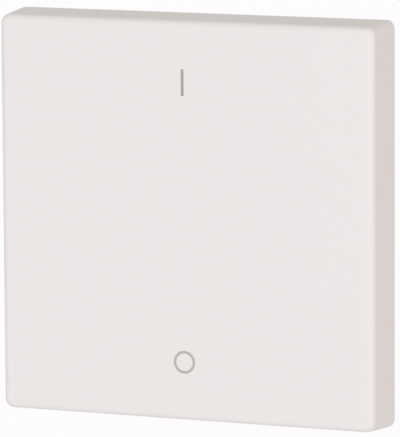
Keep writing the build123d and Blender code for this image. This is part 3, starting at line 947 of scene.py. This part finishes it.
class SWITCH_OT_finish_mouldings(bpy.types.Operator):
    """Give the wall plate, the module's shells and the plungers their plastics"""

    bl_idname = "switch.finish_mouldings"
    bl_label = "Finish the mouldings"

    def execute(self, context):
        colours = context.scene.switch_colours
        plate = moulding(
            "plate_matt",
            colours.plate,
            roughness=0.62,
            grain=0.3 * MM,
            grain_depth=0.012 * MM,
            clouding=0.015,
        )
        dress(plate, "wall_plate")
        shell = moulding(
            "housing_matt",
            colours.housing,
            roughness=0.55,
            grain=0.22 * MM,
            grain_depth=0.008 * MM,
            clouding=0.012,
        )
        dress(shell, "rear_housing", "bearing_cover")
        plunger = moulding(
            "plunger_natural",
            colours.plunger,
            roughness=0.38,
            grain=0.4 * MM,
            grain_depth=0.002 * MM,
            clouding=0.02,
        )
        dress(plunger, "upper_plunger", "lower_plunger")
        return {"FINISHED"}


class SWITCH_OT_finish_caps(bpy.types.Operator):
    """Give the contact caps their rubber"""

    bl_idname = "switch.finish_caps"
    bl_label = "Finish the contact caps"

    def execute(self, context):
        rubber = moulding(
            "cap_rubber",
            context.scene.switch_colours.rubber,
            roughness=0.78,
            grain=0.15 * MM,
            grain_depth=0.01 * MM,
            clouding=0.12,
        )
        dress(rubber, "upper_contact_cap", "lower_contact_cap")
        return {"FINISHED"}


class SWITCH_OT_seat_springs(bpy.types.Operator):
    """Seat finished copies of the return springs in place of their nodes"""

    bl_idname = "switch.seat_springs"
    bl_label = "Seat the springs"

    def execute(self, context):
        tint = context.scene.switch_colours.springs
        wire = metal("spring_wire", tint, roughness=0.34, streaks=(1.0, 2.0, 1.0))
        for joint in frame["joints"]:
            for spring in joint.get("deforming_nodes", ()):
                seat_spring(spring["node"], wire)
        return {"FINISHED"}


class SWITCH_OT_finish_electronics(bpy.types.Operator):
    """Give the board, its pads, the memory chip, the crystal and the antenna their finishes"""

    bl_idname = "switch.finish_electronics"
    bl_label = "Finish the electronics"

    def execute(self, context):
        colours = context.scene.switch_colours
        dress(solder_mask("board_mask", colours.board), "circuit_board")
        plating = metal("pad_plating", colours.pads, roughness=0.28, streaks=(1.0, 1.0, 6.0))
        dress(plating, "contact_pads")
        memory = tinned_body(
            "memory_resin", colours.resin, colours.tin, memory_leads(), body_roughness=0.6
        )
        dress(memory, "memory_chip")
        can = metal("crystal_can", colours.crystal, roughness=0.3, streaks=(1.0, 1.0, 8.0))
        dress(can, "crystal")
        strip = metal("antenna_tin", colours.tin, roughness=0.36, streaks=(0.2, 1.0, 1.0))
        dress(strip, "antenna")
        return {"FINISHED"}


class SWITCH_OT_set_radio_chip(bpy.types.Operator):
    """Set the radio chip, with its bevelled face, its dot and its pads"""

    bl_idname = "switch.set_radio_chip"
    bl_label = "Set the radio chip"

    def execute(self, context):
        sizes = context.scene.switch_board
        colours = context.scene.switch_colours
        resin = tinned_body(
            "radio_resin", colours.resin, colours.tin, radio_pads(sizes), body_roughness=0.6
        )
        chip = new_piece("radio_chip_package", radio_block(sizes), resin)
        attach(chip, "base")
        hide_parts("radio_chip")
        return {"FINISHED"}


class SWITCH_OT_set_capacitors(bpy.types.Operator):
    """Set the capacitors in their rows, with tinned ends"""

    bl_idname = "switch.set_capacitors"
    bl_label = "Set the capacitors"

    def execute(self, context):
        sizes = context.scene.switch_board
        colours = context.scene.switch_colours
        ceramic = tinned_body(
            "capacitor_ceramic",
            colours.ceramic,
            colours.tin,
            capacitor_ends(sizes),
            body_roughness=0.5,
        )
        capacitors = new_piece("chip_capacitor_set", capacitor_block(sizes), ceramic)
        given = {
            "Width": CAPACITORS_HIGH.x - CAPACITORS_LOW.x - sizes.part_length,
            "Height": CAPACITORS_HIGH.z - CAPACITORS_LOW.z - sizes.part_width,
            "Columns": CAPACITOR_COLUMNS,
            "Rows": CAPACITOR_ROWS,
            "Seat": tuple((CAPACITORS_LOW + CAPACITORS_HIGH) / 2),
            "Most turn": 0.0,
            "Finish": ceramic,
        }
        set_in_grid(capacitors, given)
        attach(capacitors, "base")
        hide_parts("chip_capacitors")
        return {"FINISHED"}


class SWITCH_OT_finish_cell(bpy.types.Operator):
    """Give the coin cell its plate and plus sign, and the cell's contacts their strip"""

    bl_idname = "switch.finish_cell"
    bl_label = "Finish the coin cell"

    def execute(self, context):
        colours = context.scene.switch_colours
        marks = context.scene.switch_marks
        dress(spun_nickel("cell_nickel", colours.cell), "coin_cell")
        strip = metal(
            "contact_strip", colours.contacts, roughness=0.32, streaks=(0.3, 1.0, 1.0)
        )
        dress(strip, "cell_clip", "cell_leaf")
        tint = toned(colours.cell, PLUS_TONE_OF_CELL)
        sign = metal("plus_sign", tint, roughness=0.5, streaks=(1.0, 1.0, 1.0))
        outline = cross_outline((0.0, marks.plus_rise), marks.plus_width / 2, marks.plus_line)
        rear, front = CELL_BACK_Y + marks.plus_depth, CELL_BACK_Y - marks.plus_depth
        block = prism(outline, rear, front)
        plus = new_piece("cell_plus_sign", block, sign)
        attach(plus, "base")
        return {"FINISHED"}


class SWITCH_OT_set_screws(bpy.types.Operator):
    """Set the four housing screws, with cross recesses and threads"""

    bl_idname = "switch.set_screws"
    bl_label = "Set the screws"

    def execute(self, context):
        sizes = context.scene.switch_screws
        tint = context.scene.switch_colours.screws
        zinc = metal("screw_zinc", tint, roughness=0.34, streaks=(1.0, 3.0, 1.0))
        shape = screw_block(sizes, SCREWS_HIGH.y - SCREWS_LOW.y)
        screws = new_piece("housing_screw_set", shape, zinc)
        given = {
            "Width": SCREWS_HIGH.x - SCREWS_LOW.x - 2 * sizes.head_radius,
            "Height": SCREWS_HIGH.z - SCREWS_LOW.z - 2 * sizes.head_radius,
            "Columns": SCREW_COLUMNS,
            "Rows": SCREW_ROWS,
            "Seat": (0.0, SCREWS_HIGH.y, 0.0),
            "Most turn": pi / 2,
            "Seed": sizes.seed,
            "Finish": zinc,
        }
        set_in_grid(screws, given)
        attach(screws, "base")
        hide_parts("housing_screws")
        return {"FINISHED"}


class SWITCH_OT_set_stage(bpy.types.Operator):
    """Lay the floor, hang the lamps, light the tent and place the camera"""

    bl_idname = "switch.set_stage"
    bl_label = "Set the stage"

    def execute(self, context):
        stage = context.scene.switch_stage
        lay_floor(stage)
        light_switch(stage)
        context.scene.world = light_tent(stage)
        context.scene.view_settings.view_transform = "Standard"
        place_camera(stage)
        return {"FINISHED"}


class VIEW3D_PT_rocker_switch(bpy.types.Panel):
    """Lists the steps that dress the switch"""

    bl_idname = "VIEW3D_PT_rocker_switch"
    bl_label = "Rocker switch"
    bl_space_type = "VIEW_3D"
    bl_region_type = "UI"
    bl_category = "Switch"

    def draw(self, context):
        for step in STEPS:
            self.layout.operator(step.bl_idname)
        for name in SETTINGS:
            settings = getattr(context.scene, name)
            column = self.layout.column(heading=settings.bl_rna.name)
            for key in settings.bl_rna.properties.keys():
                if key not in ("rna_type", "name"):
                    column.prop(settings, key)


STEPS = (
    SWITCH_OT_finish_rocker,
    SWITCH_OT_print_marks,
    SWITCH_OT_finish_mouldings,
    SWITCH_OT_finish_caps,
    SWITCH_OT_seat_springs,
    SWITCH_OT_finish_electronics,
    SWITCH_OT_set_radio_chip,
    SWITCH_OT_set_capacitors,
    SWITCH_OT_finish_cell,
    SWITCH_OT_set_screws,
    SWITCH_OT_set_stage,
)
SETTINGS = {
    "switch_colours": SwitchColours,
    "switch_marks": SwitchMarks,
    "switch_board": SwitchBoard,
    "switch_screws": SwitchScrews,
    "switch_stage": SwitchStage,
}


def register():
    """Add the settings, the steps and the panel."""
    for kind in (*SETTINGS.values(), *STEPS, VIEW3D_PT_rocker_switch):
        bpy.utils.register_class(kind)
    for name, kind in SETTINGS.items():
        setattr(bpy.types.Scene, name, PointerProperty(type=kind))


def unregister():
    """Remove the panel, the steps and the settings."""
    for name in SETTINGS:
        delattr(bpy.types.Scene, name)
    for kind in (VIEW3D_PT_rocker_switch, *STEPS, *SETTINGS.values()):
        bpy.utils.unregister_class(kind)


def main():
    """Dress the switch step by step."""
    register()
    bpy.ops.switch.finish_rocker()
    bpy.ops.switch.print_marks()
    bpy.ops.switch.finish_mouldings()
    bpy.ops.switch.finish_caps()
    bpy.ops.switch.seat_springs()
    bpy.ops.switch.finish_electronics()
    bpy.ops.switch.set_radio_chip()
    bpy.ops.switch.set_capacitors()
    bpy.ops.switch.finish_cell()
    bpy.ops.switch.set_screws()
    bpy.ops.switch.set_stage()


if __name__ == "__main__":
    main()
